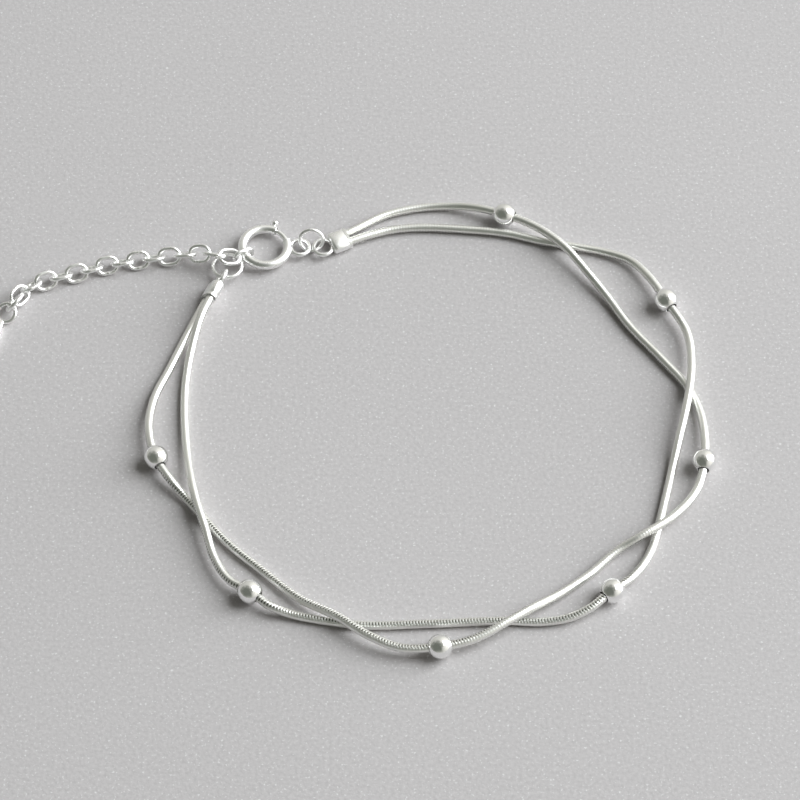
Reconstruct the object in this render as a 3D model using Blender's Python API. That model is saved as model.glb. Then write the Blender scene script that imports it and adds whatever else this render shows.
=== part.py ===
"""Beaded bracelet: two snake chains wound round each other, with seven drilled beads, end caps,
a spring ring clasp and a cable-link extender with a flat drop. It lies on a surface at z = 0.
Metres, +Z up. The origin is at the middle of the bottom of the bracelet's box."""

import math

import bmesh
import bpy
from mathutils import Matrix, Vector

MM = 0.001

# Driving dimensions, in millimetres
STRAND_DIAMETER = 0.9
STRAND_POINTS = 78
BEAD_DIAMETER = 2.5
BEAD_LENGTH = 2.3
BEAD_HOLE = 1.15
CAP_LENGTH = 2.0
CAP_WALL = 0.2
CAP_FLOOR = 0.4
CAP_LOOP_INNER = 1.5
WIRE = 0.42
JUMP_WIRE = 0.4
LEFT_RING_DIAMETER = 3.4
RIGHT_RING_DIAMETER = 2.8
CLASP_DIAMETER = 5.6
CLASP_TUBE = 0.96
CLASP_TUBE_WALL = 0.14
EYELET_INNER = 1.5
GATE_WIRE = 0.52
GATE_START = 11.0
GATE_END = 100.0
GATE_TRAVEL = 48.0
OPENING_START = 18.0
OPENING_ANGLE = 42.0
KNOB_ANGLE = 71.0
KNOB_DIAMETER = 0.7
KNOB_POST = 0.3
SLOT_MARGIN = 5.5
LINK_LENGTH = 2.58
LINK_WIDTH = 2.1
TAIL_LINKS = 10
TAIL_ROLL = 45.0
DROP_RING_DIAMETER = 2.6
DROP_LENGTH = 4.6
DROP_WIDTH = 2.8
DROP_TIP = 0.9
DROP_THICKNESS = 0.7
DROP_LOOP_INNER = 1.5
DROP_LOOP_LIFT = 25.0
FIT = 0.06          # play where one piece passes through another

# Routes, in millimetres: the few points that each strand and the extender's tail pass through
STRAND_1_ROUTE = (
    (-13.03, 16.27, 0.74),
    (-13.70, 14.81, 0.74),
    (-14.56, 12.91, 0.68),
    (-17.26, 6.51, 0.5),
    (-18.66, 2.91, 0.7),
    (-19.06, -0.79, 1.15),
    (-18.26, -4.39, 1.28),
    (-16.66, -6.99, 1.15),
    (-15.16, -8.69, 0.6),
    (-13.46, -10.79, 0.5),
    (-10.86, -13.89, 0.5),
    (-7.46, -16.99, 0.5),
    (-3.66, -20.39, 0.8),
    (-0.06, -22.69, 1.5),
    (3.14, -24.89, 1.5),
    (6.14, -26.09, 1.28),
    (10.04, -25.99, 1.28),
    (13.24, -25.19, 1.28),
    (16.84, -23.19, 1.55),
    (18.94, -21.79, 1.4),
    (21.84, -19.79, 0.8),
    (24.84, -17.39, 0.55),
    (27.74, -14.79, 0.85),
    (29.94, -13.59, 1.45),
    (33.44, -11.09, 1.45),
    (35.64, -8.09, 1.2),
    (36.54, -4.79, 1.28),
    (36.64, -0.99, 1.0),
    (36.14, 2.11, 0.6),
    (35.04, 4.71, 0.5),
    (32.84, 7.71, 0.5),
    (29.54, 11.91, 0.5),
    (27.04, 15.91, 0.7),
    (24.94, 18.71, 1.2),
    (23.44, 20.61, 1.5),
    (19.44, 24.01, 1.4),
    (16.94, 25.21, 1.28),
    (14.34, 26.11, 1.1),
    (11.34, 26.71, 0.6),
    (5.14, 25.81, 0.55),
    (0.58, 23.16, 0.75),
    (-0.92, 22.43, 0.75),
)
STRAND_2_ROUTE = (
    (-12.55, 16.05, 1.65),
    (-13.22, 14.59, 1.65),
    (-14.01, 12.71, 1.6),
    (-15.06, 8.61, 0.9),
    (-15.56, 4.71, 0.5),
    (-15.56, 1.11, 0.5),
    (-15.26, -2.79, 0.7),
    (-14.16, -9.19, 1.5),
    (-13.06, -12.89, 1.45),
    (-12.16, -15.89, 1.2),
    (-10.46, -18.59, 1.2),
    (-8.56, -19.79, 1.28),
    (-6.66, -21.29, 1.1),
    (-4.46, -21.99, 0.6),
    (-1.66, -22.59, 0.5),
    (1.44, -23.09, 0.5),
    (9.14, -22.99, 0.5),
    (16.84, -22.69, 0.5),
    (20.04, -22.79, 0.5),
    (22.94, -22.39, 0.8),
    (24.84, -21.49, 1.1),
    (26.94, -19.69, 1.28),
    (28.84, -18.19, 1.1),
    (30.84, -14.99, 0.6),
    (31.74, -11.99, 0.5),
    (32.44, -9.19, 0.5),
    (33.34, -5.29, 0.6),
    (34.04, -2.29, 1.1),
    (34.84, 1.01, 1.45),
    (35.64, 6.41, 1.5),
    (35.34, 10.61, 1.2),
    (33.34, 14.51, 1.28),
    (31.84, 17.31, 1.1),
    (29.84, 19.81, 0.7),
    (26.84, 21.11, 0.5),
    (24.04, 21.71, 0.5),
    (21.04, 22.31, 0.5),
    (17.34, 23.31, 0.5),
    (13.34, 23.81, 0.5),
    (5.14, 23.71, 0.55),
    (1.04, 22.19, 0.75),
    (-0.46, 21.49, 0.75),
)
# How the findings hang in each other: x, y, z in millimetres, then heading, slope and roll in degrees
CLASP_PLACE = (-7.78, 21.35, 0.93, 1.0, -2.5, -2.0)
LEFT_RING_PLACE = (-11.61, 18.95, 0.94, -112.7, 3.7, 3.7)
RIGHT_RING_PLACE = (-3.02, 21.93, 1.28, -1.0, -0.0, 61.4)
HOOK_LINK_PLACES = (
    (-10.02, 20.07, 1.12, -148.0, 4.7, 96.2),
    (-11.39, 19.62, 1.66, -170.7, 14.1, -3.7),
    (-12.92, 19.65, 1.97, 171.0, 0.5, 54.5),
    (-14.47, 19.97, 1.67, 171.3, -16.6, -38.2),
    (-16.02, 20.13, 1.21, 175.2, -14.9, 48.1),
    (-17.63, 20.12, 0.97, -176.6, -6.1, -45.0),
)
# The middles of some of the links that follow, the last of the hooked ones first
TAIL_ROUTE = (
    (-17.63, 20.12, 0.97),
    (-19.24, 19.97, 0.86),
    (-20.84, 19.71, 0.87),
    (-24.01, 19.06, 0.87),
    (-27.10, 18.10, 0.87),
    (-30.20, 17.16, 0.87),
    (-31.66, 16.46, 0.87),
    (-32.80, 15.34, 0.90),
    (-33.61, 14.01, 0.90),
)
# From the end of the last link: how far on, how far to the left, height, turn, slope and roll of the drop's ring
DROP_RING_PLACE = (0.06, 0.35, 1.34, 3.4, 0.4, 59.2)
# The same for the middle of the drop's loop: how far on, how far to the left, and turn
DROP_PLACE = (1.30, 0.23, 3.6)
# Which route point each bead sits on: bead number, strand route, index of the point
BEADS = (
    (1, STRAND_1_ROUTE, 6),
    (2, STRAND_2_ROUTE, 11),
    (3, STRAND_1_ROUTE, 16),
    (4, STRAND_2_ROUTE, 21),
    (5, STRAND_1_ROUTE, 26),
    (6, STRAND_2_ROUTE, 31),
    (7, STRAND_1_ROUTE, 36),
)

CAP_LOOP_REACH = CAP_FLOOR + CAP_LOOP_INNER / 2 + FIT
UP = Vector((0.0, 0.0, 1.0))


def clear_scene():
    for thing in list(bpy.data.objects):
        bpy.data.objects.remove(thing, do_unlink=True)
    for group in list(bpy.data.collections):
        bpy.data.collections.remove(group)


def make_collection(name):
    group = bpy.data.collections.new(name)
    bpy.context.scene.collection.children.link(group)
    return group


clear_scene()
BRACELET = make_collection("beaded_bracelet")
CUTTERS = make_collection("cutters")


def metal(name, colour, roughness):
    material = bpy.data.materials.new(name)
    material.use_nodes = True
    shader = material.node_tree.nodes["Principled BSDF"]
    shader.inputs["Base Color"].default_value = (*colour, 1.0)
    shader.inputs["Metallic"].default_value = 1.0
    shader.inputs["Roughness"].default_value = roughness
    return material


CHAIN_SILVER = metal("chain_silver", (0.86, 0.86, 0.84), 0.16)
BEAD_SILVER = metal("bead_silver", (0.90, 0.90, 0.89), 0.05)
FINDING_SILVER = metal("finding_silver", (0.85, 0.85, 0.84), 0.14)


def add(name, data, material, collection=None):
    piece = bpy.data.objects.new(name, data)
    (collection or BRACELET).objects.link(piece)
    if material and not data.materials:
        data.materials.append(material)
    return piece


def smooth_route(points):
    """A smooth curve through the points: a function from the way along it, and its length."""
    points = [Vector(p) for p in points]
    marks = [0.0]
    for a, b in zip(points, points[1:]):
        marks.append(marks[-1] + (b - a).length)
    slopes = [(b - a) / (v - u) for a, b, u, v in zip(points, points[1:], marks, marks[1:])]
    tangents = [slopes[0]]
    for i in range(1, len(slopes)):
        share = (marks[i] - marks[i - 1]) / (marks[i + 1] - marks[i - 1])
        tangents.append(slopes[i - 1].lerp(slopes[i], share))
    tangents.append(slopes[-1])

    fine = []
    steps = 24
    for i, (a, b) in enumerate(zip(points, points[1:])):
        span = marks[i + 1] - marks[i]
        for k in range(steps):
            t = k / steps
            fine.append(
                a * (2 * t**3 - 3 * t**2 + 1)
                + b * (3 * t**2 - 2 * t**3)
                + tangents[i] * span * (t**3 - 2 * t**2 + t)
                + tangents[i + 1] * span * (t**3 - t**2)
            )
    fine.append(points[-1])
    ways = [0.0]
    for a, b in zip(fine, fine[1:]):
        ways.append(ways[-1] + (b - a).length)

    def place(way):
        if way >= ways[-1]:
            return fine[-1] + (fine[-1] - fine[-2]).normalized() * (way - ways[-1])
        i = max(k for k in range(len(ways) - 1) if ways[k] <= max(way, 0.0))
        return fine[i].lerp(fine[i + 1], (way - ways[i]) / (ways[i + 1] - ways[i]))

    return place, ways[-1]


def way_of(place, length, point, steps=3000):
    """How far along a route the point lies."""
    target = Vector(point)
    return min((length * k / steps for k in range(steps + 1)), key=lambda way: (place(way) - target).length)


def direction(place, way, reach):
    return (place(way + reach) - place(way - reach)).normalized()


def frame_at(centre, along, roll_degrees=0.0):
    """A placement whose X runs along a direction, and whose Y is level and then rolled about X."""
    x = along.normalized()
    y = UP.cross(x).normalized()
    z = x.cross(y)
    turned = Matrix((x, y, z)).transposed() @ Matrix.Rotation(math.radians(roll_degrees), 3, "X")
    placed = turned.to_4x4()
    placed.translation = centre * MM
    return placed


def frame_of(place):
    """A placement from a row of x, y, z, heading, slope and roll."""
    x, y, z, heading, slope, roll = place
    heading, slope = math.radians(heading), math.radians(slope)
    along = Vector((math.cos(heading) * math.cos(slope), math.sin(heading) * math.cos(slope), math.sin(slope)))
    return frame_at(Vector((x, y, z)), along, roll)


def tube(name, points, diameter, material, closed=False, bevel_resolution=2):
    curve = bpy.data.curves.new(name, "CURVE")
    curve.dimensions = "3D"
    curve.resolution_u = 1
    curve.render_resolution_u = 0
    curve.bevel_depth = diameter / 2 * MM
    curve.bevel_resolution = bevel_resolution
    curve.use_fill_caps = not closed
    spline = curve.splines.new("POLY")
    spline.points.add(len(points) - 1)
    for control, point in zip(spline.points, points):
        control.co = (*(point * MM), 1.0)
    spline.use_cyclic_u = closed
    return add(name, curve, material)


def evaluated_mesh(piece):
    """The piece as a welded mesh object of the same name and place."""
    graph = bpy.context.evaluated_depsgraph_get()
    mesh = bpy.data.meshes.new_from_object(piece.evaluated_get(graph))
    work = bmesh.new()
    work.from_mesh(mesh)
    bmesh.ops.remove_doubles(work, verts=work.verts, dist=1e-7)
    bmesh.ops.recalc_face_normals(work, faces=work.faces)
    work.to_mesh(mesh)
    work.free()
    name, place = piece.name, piece.matrix_world.copy()
    collection = piece.users_collection[0]
    bpy.data.objects.remove(piece, do_unlink=True)
    solid = add(name, mesh, None, collection)
    solid.matrix_world = place
    return solid


def boolean(piece, other, operation):
    step = piece.modifiers.new(f"{operation.lower()} {other.name}", "BOOLEAN")
    step.operation = operation
    step.solver = "EXACT"
    step.object = other
    for group in list(other.users_collection):
        group.objects.unlink(other)
    CUTTERS.objects.link(other)
    other.hide_render = True
    other.display_type = "WIRE"


def torus_mesh(name, ring_diameter, wire, ring_sides=16, wire_sides=6):
    """A wire ring of an outer diameter, lying flat round its own origin."""
    bpy.ops.mesh.primitive_torus_add(
        major_segments=ring_sides,
        minor_segments=wire_sides,
        major_radius=(ring_diameter - wire) / 2 * MM,
        minor_radius=wire / 2 * MM,
    )
    made = bpy.context.active_object
    mesh = made.data
    mesh.name = name
    mesh.shade_smooth()
    bpy.data.objects.remove(made, do_unlink=True)
    return mesh


def arc_points(centre, radius, start, end, count):
    """Points on a level arc, the angles in degrees."""
    points = []
    for k in range(count):
        angle = math.radians(start + (end - start) * k / (count - 1))
        points.append(centre + Vector((math.cos(angle), math.sin(angle), 0.0)) * radius)
    return points


def make_strand(number, route):
    place, length = smooth_route(route)
    points = [place(length * k / (STRAND_POINTS - 1)) for k in range(STRAND_POINTS)]
    return tube(f"strand_{number}", points, STRAND_DIAMETER, CHAIN_SILVER)


def bead_mesh():
    """A drilled ball, its hole along X: the profile of its wall turned once round."""
    ring = bpy.data.meshes.new("bead")
    work = bmesh.new()
    hole = BEAD_HOLE / 2
    half = BEAD_LENGTH / 2
    radius = BEAD_DIAMETER / 2
    rim = math.asin(hole / radius)
    profile = []
    sides = 8
    for k in range(sides + 1):
        angle = rim + (math.pi - 2 * rim) * k / sides
        stretch = half / math.cos(rim) * math.cos(angle)
        profile.append((stretch, radius * math.sin(angle)))
    corners = [work.verts.new((x * MM, 0.0, r * MM)) for x, r in profile]
    edges = [work.edges.new(pair) for pair in zip(corners, corners[1:] + corners[:1])]
    bmesh.ops.spin(
        work,
        geom=corners + edges,
        cent=(0.0, 0.0, 0.0),
        axis=(1.0, 0.0, 0.0),
        angle=math.tau,
        steps=14,
        use_merge=True,
    )
    bmesh.ops.remove_doubles(work, verts=work.verts, dist=1e-7)
    bmesh.ops.recalc_face_normals(work, faces=work.faces)
    work.to_mesh(ring)
    work.free()
    ring.shade_smooth()
    ring.set_sharp_from_angle(angle=math.radians(50))
    return ring


def make_beads():
    mesh = bead_mesh()
    for number, route, index in BEADS:
        place, length = smooth_route(route)
        way = way_of(place, length, route[index])
        half = BEAD_LENGTH / 2
        centre = (place(way) * 2 + place(way - half) + place(way + half)) / 4
        bead = add(f"bead_{number}", mesh, BEAD_SILVER)
        bead.matrix_world = frame_at(centre, direction(place, way, half))


def cap_frame(ends):
    """A cap's placement: midway between the two strands' ends, X out past them and Y from one to the other."""
    tips = [Vector(end[0]) for end in ends]
    inner = [Vector(end[1]) for end in ends]
    middle = (tips[0] + tips[1]) / 2
    x = (middle - (inner[0] + inner[1]) / 2).normalized()
    across = tips[1] - tips[0]
    y = (across - x * across.dot(x)).normalized()
    placed = Matrix((x, y, x.cross(y))).transposed().to_4x4()
    placed.translation = middle * MM
    return placed, across.length


def make_cap(name, ends):
    """A flattened cap with a socket for each strand and a flat loop on its closed end."""
    placed, spread = cap_frame(ends)
    socket = STRAND_DIAMETER + 2 * FIT
    height = socket + 2 * CAP_WALL
    bpy.ops.mesh.primitive_cylinder_add(vertices=12, radius=height / 2 * MM, depth=CAP_LENGTH * MM)
    cap = bpy.context.active_object
    cap.name = name
    cap.users_collection[0].objects.unlink(cap)
    BRACELET.objects.link(cap)
    cap.data.materials.append(FINDING_SILVER)
    work = bmesh.new()
    work.from_mesh(cap.data)
    for corner in work.verts:
        corner.co.y += math.copysign(spread / 2 * MM, corner.co.y) if abs(corner.co.y) > 1e-6 else 0.0
    bmesh.ops.rotate(work, verts=work.verts, cent=(0, 0, 0), matrix=Matrix.Rotation(math.pi / 2, 3, "Y"))
    bmesh.ops.translate(work, verts=work.verts, vec=((CAP_FLOOR - CAP_LENGTH / 2) * MM, 0.0, 0.0))
    work.to_mesh(cap.data)
    work.free()
    cap.matrix_world = placed

    for side in (-1, 1):
        bpy.ops.mesh.primitive_cylinder_add(vertices=12, radius=socket / 2 * MM, depth=CAP_LENGTH * MM)
        cutter = bpy.context.active_object
        cutter.name = f"{name}_socket_{'left' if side < 0 else 'right'}"
        cutter.matrix_world = (
            cap.matrix_world
            @ Matrix.Translation(((FIT - CAP_LENGTH / 2) * MM, side * spread / 2 * MM, 0.0))
            @ Matrix.Rotation(math.pi / 2, 4, "Y")
        )
        boolean(cap, cutter, "DIFFERENCE")

    loop = add(f"{name}_loop", torus_mesh(f"{name}_loop", CAP_LOOP_INNER + 2 * WIRE, WIRE, 14, 6), FINDING_SILVER)
    loop.matrix_world = cap.matrix_world @ Matrix.Translation((CAP_LOOP_REACH * MM, 0.0, 0.0))
    boolean(cap, loop, "UNION")
    return cap


def link_curve():
    """A link's closed wire in its own XY plane: two straight sides and two half circles."""
    turn = (LINK_WIDTH - WIRE) / 2
    straight = (LINK_LENGTH - LINK_WIDTH) / 2
    points = arc_points(Vector((straight, 0.0, 0.0)), turn, -90, 90, 7)
    points += arc_points(Vector((-straight, 0.0, 0.0)), turn, 90, 270, 7)
    curve = tube("extender_link", points, WIRE, FINDING_SILVER, True, 1)
    data = curve.data
    bpy.data.objects.remove(curve, do_unlink=True)
    return data


def make_link(number, curve, placed):
    link = add(f"extender_link_{number:02d}", curve, FINDING_SILVER)
    link.matrix_world = placed


LEFT_ENDS = (STRAND_1_ROUTE[:2], STRAND_2_ROUTE[:2])
RIGHT_ENDS = (STRAND_1_ROUTE[:-3:-1], STRAND_2_ROUTE[:-3:-1])

LINK_PITCH = LINK_LENGTH - 2 * WIRE - 2 * FIT
CLASP_RADIUS = (CLASP_DIAMETER - CLASP_TUBE) / 2
EYELET_REACH = CLASP_DIAMETER / 2 + EYELET_INNER / 2 + FIT
OPENING_END = OPENING_START + OPENING_ANGLE


CLASP_FRAME = frame_of(CLASP_PLACE)


def arc_tube(name, radius, start, end, diameter, step=9.0, bevel_resolution=3):
    """A bent round bar in the clasp's own plane, as a mesh."""
    count = max(3, round((end - start) / step) + 1)
    bar = tube(name, arc_points(Vector(), radius, start, end, count), diameter, FINDING_SILVER, False, bevel_resolution)
    bar.matrix_world = CLASP_FRAME
    return evaluated_mesh(bar)


def make_clasp_ring():
    ring = arc_tube("clasp_ring", CLASP_RADIUS, OPENING_END, 360 + OPENING_START, CLASP_TUBE)
    eyelet_mesh = torus_mesh("eyelet", EYELET_INNER + 2 * WIRE, WIRE, 14, 6)
    eyelet = add("clasp_eyelet", eyelet_mesh, FINDING_SILVER)
    eyelet.matrix_world = CLASP_FRAME @ Matrix.Translation((EYELET_REACH * MM, 0.0, 0.0))
    boolean(ring, eyelet, "UNION")
    bore = CLASP_TUBE - 2 * CLASP_TUBE_WALL
    past_end = 4.0
    boolean(
        ring,
        arc_tube("clasp_bore", CLASP_RADIUS, OPENING_END - past_end, 360 + OPENING_START + past_end, bore, 9.0, 2),
        "DIFFERENCE",
    )
    slot_start = KNOB_ANGLE - SLOT_MARGIN
    slot_end = KNOB_ANGLE + GATE_TRAVEL + SLOT_MARGIN
    slot_width = KNOB_POST + 6 * FIT
    boolean(
        ring,
        arc_tube("clasp_slot", CLASP_DIAMETER / 2, slot_start, slot_end, slot_width, 9.0, 2),
        "DIFFERENCE",
    )


def make_clasp_gate():
    """The sprung wire that closes the ring, with the thumb knob standing out through the slot."""
    gate = arc_tube("clasp_gate", CLASP_RADIUS, GATE_START, GATE_END, GATE_WIRE, 8.0, 2)
    knob_reach = CLASP_DIAMETER / 2 + FIT + KNOB_DIAMETER / 2
    turned = Matrix.Rotation(math.radians(KNOB_ANGLE), 4, "Z") @ Matrix.Rotation(math.pi / 2, 4, "Y")
    post_length = knob_reach - CLASP_RADIUS
    bpy.ops.mesh.primitive_cylinder_add(vertices=8, radius=KNOB_POST / 2 * MM, depth=post_length * MM)
    post = bpy.context.active_object
    post.name = "knob_post"
    post.matrix_world = CLASP_FRAME @ turned @ Matrix.Translation((0.0, 0.0, (CLASP_RADIUS + post_length / 2) * MM))
    boolean(gate, post, "UNION")
    bpy.ops.mesh.primitive_uv_sphere_add(segments=10, ring_count=7, radius=KNOB_DIAMETER / 2 * MM)
    knob = bpy.context.active_object
    knob.name = "knob"
    knob.matrix_world = CLASP_FRAME @ turned @ Matrix.Translation((0.0, 0.0, knob_reach * MM))
    boolean(gate, knob, "UNION")


def make_ring(name, diameter, wire, place):
    ring = add(name, torus_mesh(name, diameter, wire, 16, 6), FINDING_SILVER)
    ring.matrix_world = frame_of(place)


def make_extender():
    """The first links hang in each other round the clasp's hook, and the rest follow the tail's route."""
    curve = link_curve()
    for k, place in enumerate(HOOK_LINK_PLACES):
        make_link(1 + k, curve, frame_of(place))
    first = len(HOOK_LINK_PLACES) + 1
    place, _ = smooth_route(TAIL_ROUTE)
    reach = (LINK_LENGTH - LINK_WIDTH) / 2
    for k in range(TAIL_LINKS):
        way = (k + 1) * LINK_PITCH
        placed = frame_at(place(way), direction(place, way, reach), TAIL_ROLL * (-1) ** k)
        make_link(first + k, curve, placed)
    along = direction(place, way, reach)
    return place(way) + along * (LINK_LENGTH - WIRE) / 2, math.degrees(math.atan2(along.y, along.x))


def from_tail(end, on, left):
    """The level point that lies so far on from the tail's end, and so far to its left."""
    point, heading = end
    along = Vector((math.cos(math.radians(heading)), math.sin(math.radians(heading)), 0.0))
    return point.x + along.x * on - along.y * left, point.y + along.y * on + along.x * left


def drop_outline():
    """A teardrop in the XY plane, its round end at +X: two arcs joined by straight sides."""
    big, small = DROP_WIDTH / 2, DROP_TIP / 2
    between = DROP_LENGTH - big - small
    lean = math.degrees(math.acos((big - small) / between))
    tip = arc_points(Vector(), small, 180 - lean, 180 + lean, 6)
    return arc_points(Vector((between, 0.0, 0.0)), big, lean - 180, 180 - lean, 17) + tip


def make_drop(end):
    """The drop lies flat on the surface, and its loop is bent up for the ring that passes under it."""
    on, left, height, turn, slope, roll = DROP_RING_PLACE
    ring_place = (*from_tail(end, on, left), height, end[1] + turn, slope, roll)
    make_ring("drop_ring", DROP_RING_DIAMETER, WIRE, ring_place)

    on, left, turn = DROP_PLACE
    x, y = from_tail(end, on, left)
    heading = end[1] + turn
    along = Vector((math.cos(math.radians(heading)), math.sin(math.radians(heading)), 0.0))
    lift = math.radians(DROP_LOOP_LIFT)
    loop_radius = (DROP_LOOP_INNER + WIRE) / 2
    centre = Vector((x, y, DROP_THICKNESS / 2 + loop_radius * math.sin(lift)))

    outline = bpy.data.curves.new("end_drop", "CURVE")
    outline.dimensions = "2D"
    outline.fill_mode = "BOTH"
    outline.extrude = DROP_THICKNESS / 2 * MM
    points = drop_outline()
    spline = outline.splines.new("POLY")
    spline.points.add(len(points) - 1)
    for control, point in zip(spline.points, points):
        control.co = (*(point * MM), 1.0)
    spline.use_cyclic_u = True
    drop = add("end_drop", outline, FINDING_SILVER)
    past_loop = loop_radius * math.cos(lift) + DROP_TIP / 2 - FIT
    drop.matrix_world = frame_at(Vector((x, y, DROP_THICKNESS / 2)) + along * past_loop, along)
    drop = evaluated_mesh(drop)

    loop = add("drop_loop", torus_mesh("drop_loop", DROP_LOOP_INNER + 2 * WIRE, WIRE, 14, 6), FINDING_SILVER)
    loop.matrix_world = frame_at(centre, along * math.cos(lift) - UP * math.sin(lift))
    boolean(drop, loop, "UNION")


make_strand(1, STRAND_1_ROUTE)
make_strand(2, STRAND_2_ROUTE)
make_beads()
make_cap("end_cap_left", LEFT_ENDS)
make_cap("end_cap_right", RIGHT_ENDS)
make_clasp_ring()
make_clasp_gate()
make_ring("jump_ring_left", LEFT_RING_DIAMETER, JUMP_WIRE, LEFT_RING_PLACE)
make_ring("jump_ring_right", RIGHT_RING_DIAMETER, JUMP_WIRE, RIGHT_RING_PLACE)
make_drop(make_extender())
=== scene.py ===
# Beaded bracelet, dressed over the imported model: polished silver on a pale grey board
import math

import bmesh
import bpy
from mathutils import Matrix, Vector


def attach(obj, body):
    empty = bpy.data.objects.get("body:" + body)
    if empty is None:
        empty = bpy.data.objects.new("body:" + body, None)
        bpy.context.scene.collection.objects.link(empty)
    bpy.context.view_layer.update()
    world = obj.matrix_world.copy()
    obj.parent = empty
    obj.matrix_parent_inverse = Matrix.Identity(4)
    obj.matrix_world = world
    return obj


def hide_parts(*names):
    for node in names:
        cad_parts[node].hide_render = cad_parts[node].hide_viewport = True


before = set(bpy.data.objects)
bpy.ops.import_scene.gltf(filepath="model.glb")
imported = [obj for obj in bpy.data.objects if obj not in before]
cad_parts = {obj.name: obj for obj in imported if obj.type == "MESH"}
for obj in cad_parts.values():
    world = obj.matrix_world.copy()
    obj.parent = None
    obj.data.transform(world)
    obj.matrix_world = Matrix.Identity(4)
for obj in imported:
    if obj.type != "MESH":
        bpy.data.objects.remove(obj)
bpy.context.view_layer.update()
scene = bpy.context.scene
mm = 0.001
up = Vector((0.0, 0.0, 1.0))
print("frame loaded:", len(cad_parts), "nodes")

# Routes of the two chains in millimetres, the same points as the solids follow
routes = {
    "strand_1": [
        (-13.03, 16.27, 0.74),
        (-13.70, 14.81, 0.74),
        (-14.56, 12.91, 0.68),
        (-17.26, 6.51, 0.5),
        (-18.66, 2.91, 0.7),
        (-19.06, -0.79, 1.15),
        (-18.26, -4.39, 1.28),
        (-16.66, -6.99, 1.15),
        (-15.16, -8.69, 0.6),
        (-13.46, -10.79, 0.5),
        (-10.86, -13.89, 0.5),
        (-7.46, -16.99, 0.5),
        (-3.66, -20.39, 0.8),
        (-0.06, -22.69, 1.5),
        (3.14, -24.89, 1.5),
        (6.14, -26.09, 1.28),
        (10.04, -25.99, 1.28),
        (13.24, -25.19, 1.28),
        (16.84, -23.19, 1.55),
        (18.94, -21.79, 1.4),
        (21.84, -19.79, 0.8),
        (24.84, -17.39, 0.55),
        (27.74, -14.79, 0.85),
        (29.94, -13.59, 1.45),
        (33.44, -11.09, 1.45),
        (35.64, -8.09, 1.2),
        (36.54, -4.79, 1.28),
        (36.64, -0.99, 1.0),
        (36.14, 2.11, 0.6),
        (35.04, 4.71, 0.5),
        (32.84, 7.71, 0.5),
        (29.54, 11.91, 0.5),
        (27.04, 15.91, 0.7),
        (24.94, 18.71, 1.2),
        (23.44, 20.61, 1.5),
        (19.44, 24.01, 1.4),
        (16.94, 25.21, 1.28),
        (14.34, 26.11, 1.1),
        (11.34, 26.71, 0.6),
        (5.14, 25.81, 0.55),
        (0.58, 23.16, 0.75),
        (-0.92, 22.43, 0.75),
    ],
    "strand_2": [
        (-12.55, 16.05, 1.65),
        (-13.22, 14.59, 1.65),
        (-14.01, 12.71, 1.6),
        (-15.06, 8.61, 0.9),
        (-15.56, 4.71, 0.5),
        (-15.56, 1.11, 0.5),
        (-15.26, -2.79, 0.7),
        (-14.16, -9.19, 1.5),
        (-13.06, -12.89, 1.45),
        (-12.16, -15.89, 1.2),
        (-10.46, -18.59, 1.2),
        (-8.56, -19.79, 1.28),
        (-6.66, -21.29, 1.1),
        (-4.46, -21.99, 0.6),
        (-1.66, -22.59, 0.5),
        (1.44, -23.09, 0.5),
        (9.14, -22.99, 0.5),
        (16.84, -22.69, 0.5),
        (20.04, -22.79, 0.5),
        (22.94, -22.39, 0.8),
        (24.84, -21.49, 1.1),
        (26.94, -19.69, 1.28),
        (28.84, -18.19, 1.1),
        (30.84, -14.99, 0.6),
        (31.74, -11.99, 0.5),
        (32.44, -9.19, 0.5),
        (33.34, -5.29, 0.6),
        (34.04, -2.29, 1.1),
        (34.84, 1.01, 1.45),
        (35.64, 6.41, 1.5),
        (35.34, 10.61, 1.2),
        (33.34, 14.51, 1.28),
        (31.84, 17.31, 1.1),
        (29.84, 19.81, 0.7),
        (26.84, 21.11, 0.5),
        (24.04, 21.71, 0.5),
        (21.04, 22.31, 0.5),
        (17.34, 23.31, 0.5),
        (13.34, 23.81, 0.5),
        (5.14, 23.71, 0.55),
        (1.04, 22.19, 0.75),
        (-0.46, 21.49, 0.75),
    ],
}

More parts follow.
